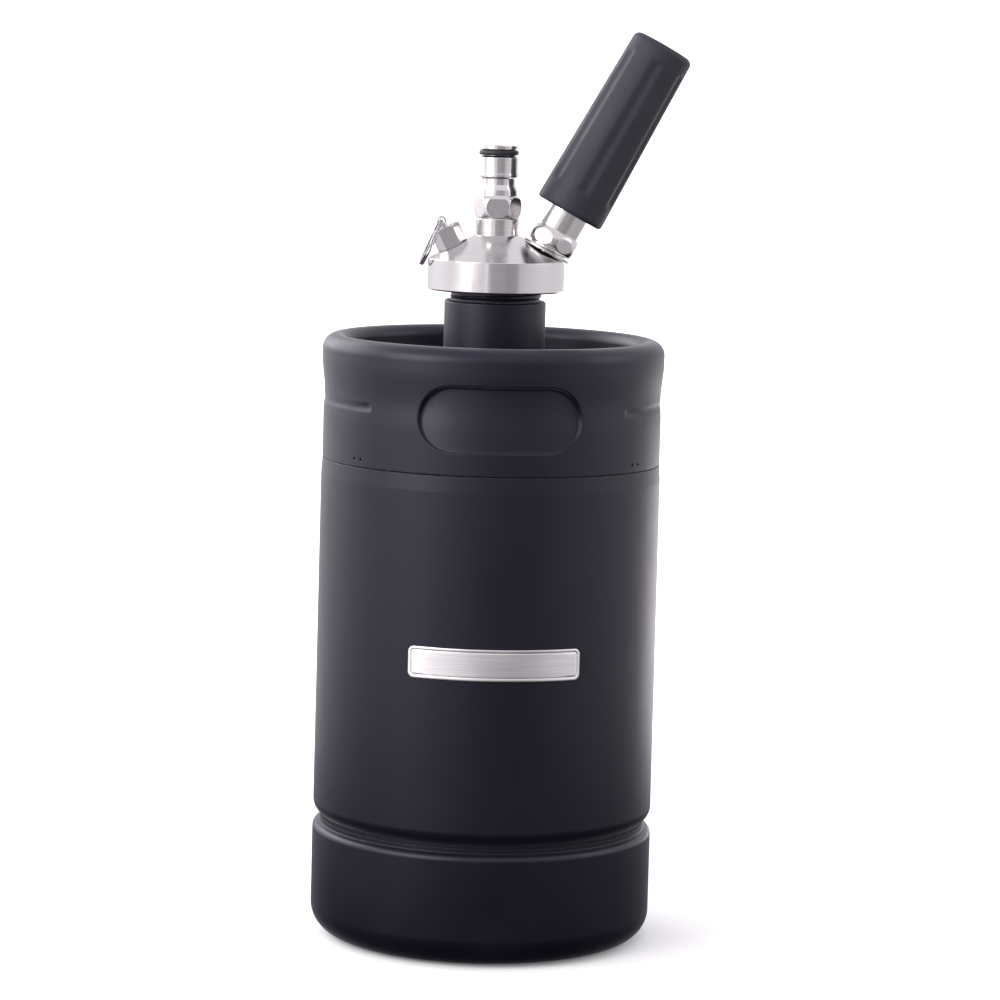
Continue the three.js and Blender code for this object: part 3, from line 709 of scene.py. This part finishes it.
def collar_radius(z, rim_r):
    """The collar's outside: nearly straight, with a slight waist above the creases."""
    return rim_r - 0.85 - 0.4 * smooth_step(z, 236, 247) + 1.25 * smooth_step(z, 247, 263)


def crease_depth(angle, z):
    """How deep the pressed side creases are; angle is in degrees from the front."""
    across = np.clip(np.abs(z - CREASE["z"]) / (CREASE["height"] / 2), 0, 1)
    from_side = np.abs(np.abs((angle + 180) % 360 - 180) - 90)
    from_end = CREASE["half_angle"] - from_side
    along = smooth_step(from_end, -0.5, 1.5) * (1 - 0.6 * smooth_step(from_end, 2, 12))
    return CREASE["depth"] * (0.5 + 0.5 * np.cos(np.pi * across)) * along


def top_collar():
    """One closed skin: a grid, finer at the creases, with the recesses and vents let in."""
    rim_r, low, high = turned_size("top_collar")
    out_round, in_round = 6.5, 5
    centre_r = rim_r - out_round
    block_low, block_high = RECESS["z"] - 18, RECESS["z"] + 18
    vent_low, vent_high = VENT["z"] - 1.5, VENT["z"] + 1.5
    crease_low, crease_high = CREASE["z"] - 3, CREASE["z"] + 3
    rim_start = high - out_round
    recess_half, vent_half = 32.8, 1.15  # degrees that the refined blocks span each way
    heights = [
        *steps(low + 0.5, vent_low, 0.7),
        *steps(vent_low, vent_high, 0.5),
        *steps(vent_high, block_low, 0.6),
        *steps(block_low, crease_low, 1.4),
        *steps(crease_low, crease_high, 0.25),
        *steps(crease_high, block_high, 1.3),
        *steps(block_high, rim_start, 1.2),
    ]
    outside = [(collar_radius(z, rim_r), z) for z in heights]
    rim = arc(centre_r, rim_start, out_round, 0, 90, 4)
    rim += arc(centre_r, high - in_round, in_round, 90, 180, 6)[1:]
    in_r = centre_r - in_round
    inside = spaced(rounded([
        (in_r, high - in_round - 0.5),
        (in_r - 0.5, 221, 0.3),
        (in_r + 1, 221, 0.3),
        (rim_r - 3, low + 0.6, 0.3),
        (rim_r - 1.6, low, 0.3),
        (collar_radius(low, rim_r) - 0.1, low, 0.4),
        (collar_radius(low, rim_r), low + 0.45),
    ])[:-1], 4, closed=False)
    rows = outside + rim + inside
    quarter = [  # degrees from the front: recess, crease end, vents, side
        *steps(0, recess_half, 1.3),
        *steps(recess_half, 45, 1.3),
        *steps(45, 47, 0.2),
        *steps(47, 50.65, 0.9),
        *steps(50.65, 52.95, 0.46),
        *steps(52.95, 54.05, 0.55),
        *steps(54.05, 56.35, 0.46),
        *steps(56.35, 90, 1.3),
    ]
    half = quarter + [90] + [180 - a for a in quarter[:0:-1]]
    angles = np.array(half + [180] + [360 - a for a in half[:0:-1]])
    radii = np.array([p[0] for p in rows])[:, None]
    levels = np.array([p[1] for p in rows])[:, None]
    on_outside = (np.arange(len(rows)) < len(outside))[:, None]
    depth = np.where(on_outside, crease_depth(angles[None, :], levels), 0)

    def on_collar(angle, r, z):
        a = np.radians(angle)
        return np.stack(np.broadcast_arrays(r * np.sin(a), -r * np.cos(a), z), -1)

    points = [on_collar(angles[None, :], radii - depth, levels).reshape(-1, 3)]
    skip = set()
    faces = []

    def let_in(centre, z, half_width, first_row, last_row, straight, radius, edge, tilt=0):
        """Replaces a block of the grid by rings that follow a stadium-shaped outline."""
        nonlocal points
        columns = len(angles)
        span = (angles - centre + 180) % 360 - 180
        inside_columns = [int(j) for j in np.where(np.abs(span) < half_width + 1e-6)[0]]
        inside_columns.sort(key=lambda j: span[j])
        block_rows = list(range(first_row, last_row + 1))
        skip.update((i, j) for i in block_rows[:-1] for j in inside_columns[:-1])
        loop = [(first_row, j) for j in inside_columns]
        loop += [(i, inside_columns[-1]) for i in block_rows[1:]]
        loop += [(last_row, j) for j in inside_columns[-2::-1]]
        loop += [(i, inside_columns[0]) for i in block_rows[-2:0:-1]]
        start = np.array([
            (rim_r * math.sin(math.radians(span[j])), rows[i][1] - z) for i, j in loop
        ])
        middle = np.stack([np.clip(start[:, 0], -straight, straight), 0 * start[:, 0]], -1)
        away = start - middle
        reach = np.linalg.norm(away, axis=1)[:, None]
        away /= reach
        rings = [
            (middle + away * (reach + t * (radius + edge[0][0] - reach)), 0) for t in (0.35, 0.7)
        ]
        rings += [(middle + away * (radius + out), down) for out, down in edge]
        rings.append((middle, edge[-1][1]))  # closes the floor on the middle line
        last = [i * columns + j for i, j in loop]
        for flat, down in rings:
            count = sum(len(p) for p in points)
            angle = centre + np.degrees(np.arcsin(flat[:, 0] / rim_r))
            height = z + flat[:, 1]
            depth = down * (1 + tilt * flat[:, 1] / edge[-1][1])
            points.append(on_collar(angle, collar_radius(height, rim_r) - depth, height))
            here = list(range(count, count + len(loop)))
            for a in range(len(loop)):
                b = (a + 1) % len(loop)
                faces.append((last[a], last[b], here[b], here[a]))
            last = here

    def row_of(z):
        return min(range(len(heights)), key=lambda i: abs(heights[i] - z))

    radius = RECESS["height"] / 2
    straight = RECESS["length"] / 2 - radius
    for front in (0, 180):
        let_in(front, RECESS["z"], recess_half, row_of(block_low), row_of(block_high),
               straight, radius, EDGE_OF_RECESS, RECESS["tilt"])
        for side in (-1, 1):
            for angle in VENT["angles"]:
                let_in(front + side * angle, VENT["z"], vent_half, row_of(vent_low),
                       row_of(vent_high), 0, VENT["radius"], EDGE_OF_VENT)
    faces += grid_faces(len(rows), len(angles), True, skip)
    dress(piece("top_collar_detail", np.concatenate(points), faces), "top_collar")


def shoulder_dome():
    r, low, high = turned_size("shoulder_dome")
    neck_edge = turned_size("threaded_neck")[0] + 0.3

    def quarter(inner, outer, z, rise):
        return [
            (inner + (outer - inner) * math.cos(a), z + rise * math.sin(a))
            for a in np.radians(np.linspace(0, 90, 25))
        ]

    top = quarter(neck_edge, r, low + 0.3, high - low - 0.3)
    under = quarter(neck_edge, r - SHEET, low, high - low - SHEET)
    dress(revolve("shoulder_dome_detail", [*top, *under[::-1]], segments=192), "shoulder_dome")


def threaded_neck():
    r, low, high = turned_size("threaded_neck")
    bore, root, shoulder = 19.2, 20, high - 12.9
    wall = spaced([(root, shoulder + 0.3), (root, high - 0.3)], 0.2, closed=False)
    profile = rounded([
        (bore, low, 0.3),
        (r, low, 0.3),
        (r, shoulder, 1.3),
        (root + 0.1, shoulder, 0.15),
        *wall,
        (root - 0.3, high, 0.2),
        (bore, high, 0.2),
    ])
    shape = thread(shoulder + 0.6, high - 0.4, root - 0.05, 0.6, 4)

    def only_thread(angle, radius, z):
        return np.where(z > shoulder + 0.3, shape(angle, radius, z), radius)

    dress(revolve("threaded_neck_detail", profile, segments=192, shape=only_thread),
          "threaded_neck")


def inner_tank():
    r, low, high = turned_size("inner_tank")
    knuckle, dome_low, rise, wall = 12, 200, 31, 1
    mouth_in, mouth_out, lip = 17.6, 18.7, 20.3

    def dome(inner, outer, height):
        return [
            (inner + (outer - inner) * math.cos(a), dome_low + height * math.sin(a))
            for a in np.radians(np.linspace(0, 90, 25))
        ]

    dress(revolve("inner_tank_detail", rounded([
        (0, low),
        *arc(r - knuckle, low + knuckle, knuckle, -90, 0),
        *dome(mouth_out, r, rise),
        (mouth_out, high - 0.7, 0.3),
        (lip, high - 0.7, 0.2),
        (lip, high, 0.2),
        (mouth_in, high, 0.3),
        *dome(mouth_in, r - wall, rise - wall)[::-1],
        *arc(r - knuckle, low + knuckle, knuckle - wall, 0, -90),
        (0, low + wall),
    ]), closed=False, segments=160), "inner_tank")


def badge_plate():
    """A plain curved plate with rounded corners and an engraved border line."""
    low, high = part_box("badge_plate")
    z = (low.z + high.z) / 2 / MM
    half_height = (high.z - low.z) / 2 / MM
    outer_r = -low.y / MM
    thick = 0.8
    half_angle = math.asin(high.x / MM / outer_r)
    half_width = half_angle * outer_r
    corner = 2.6
    straight = half_width - half_height
    centre, away = [], []
    for side in (-1, 1):
        for u in np.linspace(side * straight, -side * straight, 90):
            centre.append((u, 0))
            away.append((0, side))
        for a in np.linspace(0, math.pi, 49)[1:-1]:
            centre.append((-side * straight, 0))
            away.append((-side * math.sin(a), side * math.cos(a)))
    centre, away = np.array(centre), np.array(away)

    def outline(offset):
        """Where each ray from the middle line meets the rounded rectangle, grown by offset."""
        near, far = np.zeros(len(centre)), np.full(len(centre), 2.0 * half_height)
        size = np.array([half_width, half_height]) - corner
        for _ in range(30):
            t = (near + far) / 2
            q = np.abs(centre + away * t[:, None]) - size
            out = np.linalg.norm(np.maximum(q, 0), axis=1) + np.minimum(q.max(1), 0) - corner
            near, far = np.where(out < offset, t, near), np.where(out < offset, far, t)
        return centre + away * near[:, None]

    rings = [  # (outside the outline, above the back)
        (-half_height, 0), (-3, 0), (-0.2, 0), (-0.05, 0.06), (0, 0.2), (0, 0.62), (-0.06, 0.74),
        (-0.2, 0.8), (-0.6, 0.8), (-1.15, 0.8), (-1.25, 0.76), (-1.3, 0.66), (-1.4, 0.6),
        (-1.6, 0.6), (-1.7, 0.66), (-1.75, 0.76), (-1.85, 0.8), (-2.6, 0.8), (-4, 0.8),
        (-5.5, 0.8), (-half_height, 0.8),
    ]
    points = []
    for offset, up in rings:
        flat = outline(offset) if offset > -half_height else centre
        angle = flat[:, 0] / outer_r
        r = outer_r - thick + up
        points.append(np.stack([r * np.sin(angle), -r * np.cos(angle), z + flat[:, 1]], -1))
    faces = grid_faces(len(rings), len(centre), False)
    dress(piece("badge_plate_detail", np.concatenate(points), faces), "badge_plate")


# ---- spear --------------------------------------------------------------------------------


def spear_hub():
    r, low, high = turned_size("spear_hub")
    edge, cone_top, ceiling = low + 13.9, low + 24.7, low + 12.2
    hub = revolve("spear_hub_detail", rounded([
        (21.3, low, 0.5),
        (r, low, 0.9),
        (r, edge, 0.3),
        (10.2, cone_top, 0.25),
        (9.75, cone_top, 0.15),
        (9.75, high, 0.5),
        (6.8, high, 0.3),
        (6.8, cone_top - 2.8),
        (4.4, cone_top - 2.8),
        (4.4, ceiling),
        (21.3, ceiling, 0.6),
    ]), segments=192)
    # the gas passage, and the seats and bores of both fittings
    passage_top, passage_end = Vector((20.6, 0, 308)), Vector((13.6, 0, ceiling - 1.5))
    passage = tilted(passage_top - passage_end, passage_end * MM, 0)
    passage_length = (passage_top - passage_end).length
    for place, radius, bottom, top in (
        (gas, 12.4, -0.7, 5),
        (gas, 4.25, -5, 0),
        (passage, 1.3, 0, passage_length),
        (relief, 7.4, -0.6, 5),
        (relief, 3.85, -5.3, 0),
        (relief, 1.5, -10, -5),
    ):
        cutter = revolve("cutter", [(0, bottom), (radius, bottom), (radius, top), (0, top)],
                         closed=False, segments=128)
        cutter.matrix_world = place
        combine(hub, cutter, "DIFFERENCE")
    dress(hub, "spear_hub")


def bulge(low, high, first, middle, last):
    """A turned blank's outside between two heights, as a parabola through three radii."""
    fit = np.polyfit((0, 0.46, 1), (first, middle, last), 2)
    count = math.ceil((high - low) / 0.2)
    return [(np.polyval(fit, t), low + (high - low) * t) for t in np.linspace(0, 1, count)]


def ball_lock_post():
    _, low, high = turned_size("ball_lock_post")
    hex_low, hex_high = low + 6.9, low + 16.3
    profile = rounded([
        (3.6, low, 0.2),
        (6.5, low, 0.3),
        (6.5, hex_low),
        (9.3, hex_low),
        *bulge(hex_low, hex_high - 0.9, 9.75, 10.75, 10.15),
        (9.1, hex_high, 0.2),
        (8.75, hex_high + 0.5, 0.4),
        (8.55, hex_high + 3, 0.6),
        (7.6, high - 17.6, 0.5),
        (7.5, high - 14.8, 0.2),
        (8.85, high - 14.2, 0.25),
        (8.85, high - 13.2, 0.3),
        (8.65, high - 12.2, 0.3),
        (8.65, high - 5.4, 0.35),
        (7.1, high - 4.8, 0.2),
        (7.1, high - 1.9, 0.2),
        (8.45, high - 1.8, 0.15),
        (8.45, high, 0.45),
        (6.5, high, 0.35),
        (6.2, high - 2.8, 0.5),
        (3, high - 5.8, 0.2),
        (3, high - 6.8, 0.2),
        (4.9, high - 8.9, 0.2),
        (4.9, low + 7.4),
        (3.6, low + 7.4),
    ])
    shape = hex_between(hex_low - 0.01, hex_high - 0.5, 9.2, 19, -3.5)
    dress(revolve("ball_lock_post_detail", profile, segments=360, shape=shape), "ball_lock_post")


def post_o_ring():
    """An O-ring squeezed by its groove, so it is taller than it is thick."""
    low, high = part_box("post_o_ring")
    z = (low.z + high.z) / 2 / MM
    half_thick, half_tall = 0.92, 1.22
    centre = high.x / MM - half_thick
    section = [
        (centre + half_thick * math.cos(a), z + half_tall * math.sin(a))
        for a in np.radians(np.arange(0, 360, 15))
    ]
    dress(revolve("post_o_ring_detail", section, segments=128), "post_o_ring")


def poppet():
    r, low, high = turned_size("poppet")
    dress(revolve("poppet_detail", rounded([
        (0, low),
        (r, low, 0.25),
        (r, low + 2, 0.25),
        (2.4, low + 2, 0.3),
        (2.4, high, 0.7),
        (0, high),
    ]), closed=False, segments=64), "poppet")


def poppet_spring():
    """A round-wire spring, swept along a helix of six turns."""
    r, low, high = turned_size("poppet_spring")
    wire_r, turns, count = 0.4, 6, 480
    t = np.linspace(0, 1, count)
    angle = t * turns * FULL_TURN
    path = np.stack([
        (r - wire_r) * np.cos(angle),
        (r - wire_r) * np.sin(angle),
        low + wire_r + t * (high - low - 2 * wire_r),
    ], -1)
    section = [
        (wire_r * math.cos(a), wire_r * math.sin(a)) for a in np.radians(np.arange(0, 360, 30))
    ]
    made = sweep("poppet_spring_detail", path, section)
    dress(made, "poppet_spring")
    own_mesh(made)


def dip_tube():
    r, low, high = turned_size("dip_tube")
    bore, tube = 3.2, 4
    dress(revolve("dip_tube_detail", rounded([
        (bore, low, 0.2),
        (tube, low, 0.3),
        (tube, high - 1.1, 0.3),
        (r, high - 1.1, 0.2),
        (r, high, 0.2),
        (bore, high, 0.2),
    ]), segments=64), "dip_tube")


def neck_gasket():
    r, low, high = turned_size("neck_gasket")
    dress(revolve("neck_gasket_detail", rounded([
        (r - 2.7, low, 0.5),
        (r, low, 0.5),
        (r, high, 0.5),
        (r - 2.7, high, 0.5),
    ]), segments=128), "neck_gasket")


# ---- relief valve -------------------------------------------------------------------------


def prv_body():
    low, high, hollow = -0.3, 9.2, 0.8
    wall = spaced([(7.1, low), (7.1, high - 0.8), (6, high)], 0.2, closed=False)
    profile = rounded([
        (1.2, -5, 0.1),
        (3.6, -5, 0.3),
        (3.6, hollow),
        (5.3, hollow),
        (5.3, low),
        *wall,
        (2, high, 0.3),
        (2, high - 1.5),
        (2.7, high - 1.5),
        (2.7, -4.2),
        (1.2, -4.2),
    ])
    shape = hex_between(low - 0.01, high + 0.01, 5.4, 12, 0)
    dress(revolve("prv_body_detail", profile, segments=240, shape=shape), "prv_body", relief)


def prv_stem():
    """A turned pin whose top is flattened to an eye with a cross hole for the ring."""
    across = Matrix.Translation((0, 0, EYE_HEIGHT * MM)) @ Matrix.Rotation(math.pi / 2, 4, "X")
    pin = revolve("prv_stem_detail", rounded([
        (0, -2.9),
        (2.3, -2.9, 0.2),
        (2.3, -2.2, 0.2),
        (1.7, -2.2, 0.1),
        (1.7, EYE_HEIGHT, 0.5),
        (0, EYE_HEIGHT),
    ]), closed=False, segments=64)
    eye = revolve("eye", rounded([
        (0, -1.2),
        (2.2, -1.2, 0.4),
        (2.2, 1.2, 0.4),
        (0, 1.2),
    ]), closed=False, segments=64)
    eye.matrix_world = across
    combine(pin, eye, "UNION")
    hole = revolve("hole", [(0, -4), (1.35, -4), (1.35, 4), (0, 4)], closed=False, segments=48)
    hole.matrix_world = across
    combine(pin, hole, "DIFFERENCE")
    dress(pin, "prv_stem", relief)


def pull_ring():
    """A split ring: flat wire wound twice, which steps from one coil to the other."""
    ring_r, wire, width, lean = 10.75, 0.9, 0.9, 24
    gap, turns, count = 0.06, 2, 240
    first_angle, open_angle = math.radians(-60), math.radians(27)
    step_start, step_end = 0.93, 1.0  # in turns
    t = np.linspace(0, 1, count)
    angle = first_angle + t * (turns * FULL_TURN - open_angle)
    offset = (width + gap) * (smooth_step(t * turns, step_start, step_end) - 0.5)
    path = np.stack([ring_r * np.cos(angle), ring_r * np.sin(angle), offset], -1)
    half_wire, half_width, corner = wire / 2, width / 2, 0.3
    section = rounded([
        (-half_wire, -half_width, corner),
        (half_wire, -half_width, corner),
        (half_wire, half_width, corner),
        (-half_wire, half_width, corner),
    ])
    eye = Vector(joint("ring_swing")["pos_m"])
    hang = math.radians(lean)
    centre = eye - Vector((math.sin(hang), 0, math.cos(hang))) * ring_r * MM
    turn = Matrix.Rotation(math.radians(90 + lean), 4, "Y")
    dress(sweep("pull_ring_detail", path, section), "pull_ring", Matrix.Translation(centre) @ turn)


# ---- gas inlet and bulb holder ------------------------------------------------------------


def adapter_seal_ring():
    dress(revolve("adapter_seal_ring_detail", rounded([
        (4.4, -0.4, 0.2),
        (12, -0.4, 0.3),
        (12, 0.7, 0.3),
        (4.4, 0.7, 0.2),
    ]), segments=128), "adapter_seal_ring", gas)


def gas_adapter():
    low, high, collar_low, collar_high, tube = -4.7, 26.5, 1.7, 9.4, 10
    thread_low = 21.5
    ridge = 0.45
    profile = rounded([
        (1.5, low, 0.2),
        (4, low, 0.4),
        (4, 1, 0.2),
        (9.6, 1, 0.1),
        (9.6, collar_low),
        *bulge(collar_low, collar_high, 10.35, 11.6, 10.35),
        (10, collar_high + 1.2, 1.5),
        (tube, thread_low, 0.2),
        (tube - ridge, thread_low + 0.3),
        *spaced([(tube - ridge, thread_low + 0.5), (tube - ridge, high - 0.6)], 0.15, False),
        (9.2, high, 0.3),
        (8.4, high, 0.2),
        (6.2, 22, 1),
        (5.2, 19, 1),
        (5.2, 7.5),
        (0.9, 7.5),
        (0.9, 5.4),
        (2.4, 4.6),
        (2.4, -3.9),
        (1.5, -3.9),
    ])
    cut = hex_between(collar_low - 0.01, collar_high + 0.01, 9.8, 21.4, 29)
    turn = thread(thread_low + 0.4, high - 0.4, tube - ridge - 0.05, ridge - 0.05, 1.5)

    def shape(angle, r, z):
        return np.where(z > thread_low + 0.35, turn(angle, r, z), cut(angle, r, z))

    dress(revolve("gas_adapter_detail", profile, segments=288, shape=shape), "gas_adapter", gas)


def piercing_pin():
    dress(revolve("piercing_pin_detail", rounded([
        (0.5, 7.9, 0.1),
        (4.8, 7.9, 0.2),
        (4.8, 8.9, 0.2),
        (1.1, 8.9, 0.2),
        (1.1, 12.4, 0.1),
        (0.65, 13.4, 0.05),
        (0.5, 13.4),
    ]), segments=48), "piercing_pin", gas)


def bulb_seal():
    dress(revolve("bulb_seal_detail", rounded([
        (1.5, 9.2, 0.2),
        (4.8, 9.2, 0.3),
        (4.8, 10.3, 0.3),
        (1.5, 10.3, 0.2),
    ]), segments=64), "bulb_seal", gas)


def co2_bulb():
    r, low, high, wall, hole = 11, 10.6, 97.6, 1.8, 1.5
    end = high - r
    dress(revolve("co2_bulb_detail", rounded([
        *arc(0, end, r, 90, 0),
        (r, 37, 9),
        (8.2, 27, 14),
        (4.7, 19.5, 9),
        (4.7, low, 0.6),
        (hole, low, 0.2),
        (hole, low + wall, 0.2),
        (4.7 - wall, low + wall),
        (4.7 - wall, 21, 2),
        (r - wall, 39, 8),
        *arc(0, end, r - wall, 0, 90),
    ]), closed=False, segments=128), "co2_bulb", gas)


def holder_sleeve():
    bore, outer, low, end = 11.4, 12.3, 23, 98
    dress(revolve("holder_sleeve_detail", rounded([
        (0, end),
        (bore, end, 4),
        (bore, 29, 0.3),
        (10.3, 28.4, 0.3),
        (10.3, low, 0.3),
        (outer, low, 0.3),
        (outer, end + 1, 4.6),
        (0, end + 1),
    ]), closed=False, segments=128), "holder_sleeve", gas)


def holder_grip():
    """A rubber sleeve, tapered towards its domed top, with six shallow flutes."""
    low, high, low_r, top_r, bore, inside = 19.8, 106, 16.1, 14.5, 12.6, 99.7
    edge, top_round, flutes, depth, half_width = 1.7, 3, 6, 0.8, 3.8
    flute_low, flute_high, run_out = 29.5, 98.3, 3
    side = spaced([(low_r, low + edge), (top_r, high - top_round)], 0.6, closed=False)
    profile = [
        *rounded([
            (0, inside),
            (bore, inside, 3.6),
            (bore, low, 0.6),
            (low_r - 0.02, low, edge),
            (low_r, low + edge + 0.3),
        ])[:-1],
        *side,
        *arc(top_r - top_round, high - top_round - 0.35, top_round, 5, 84, 6),
        (6, high - 0.08),
        (0, high),
    ]

    def shape(angle, r, z):
        spacing = FULL_TURN / flutes
        from_flute = (angle + math.pi / 2 + spacing / 2) % spacing - spacing / 2
        across = np.clip(np.abs(from_flute) * r / half_width, 0, 1)
        groove = 0.5 + 0.5 * np.cos(np.pi * across)
        lower_end = smooth_step(z, flute_low, flute_low + run_out)
        upper_end = smooth_step(-z, -flute_high, -flute_high + run_out)
        return r - np.where(r > bore + 0.8, depth * groove * lower_end * upper_end, 0)

    made = revolve("holder_grip_detail", profile, closed=False, segments=360, shape=shape)
    dress(made, "holder_grip", gas)


# ---- build --------------------------------------------------------------------------------

make_camera()
make_studio()
make_floor()
dark_table()

for node in frame["nodes"]:
    for slot in frame["nodes"][node].material_slots:
        slot.material = FINISHES[SLOTS[node]]

PIECES = (
    foot_ring, base_plate, barrel_shell, top_collar, shoulder_dome, threaded_neck, inner_tank,
    badge_plate, spear_hub, ball_lock_post, post_o_ring, poppet, poppet_spring, dip_tube,
    neck_gasket, prv_body, prv_stem, pull_ring, adapter_seal_ring, gas_adapter, piercing_pin,
    bulb_seal, co2_bulb, holder_sleeve, holder_grip,
)
for make in PIECES:
    make()
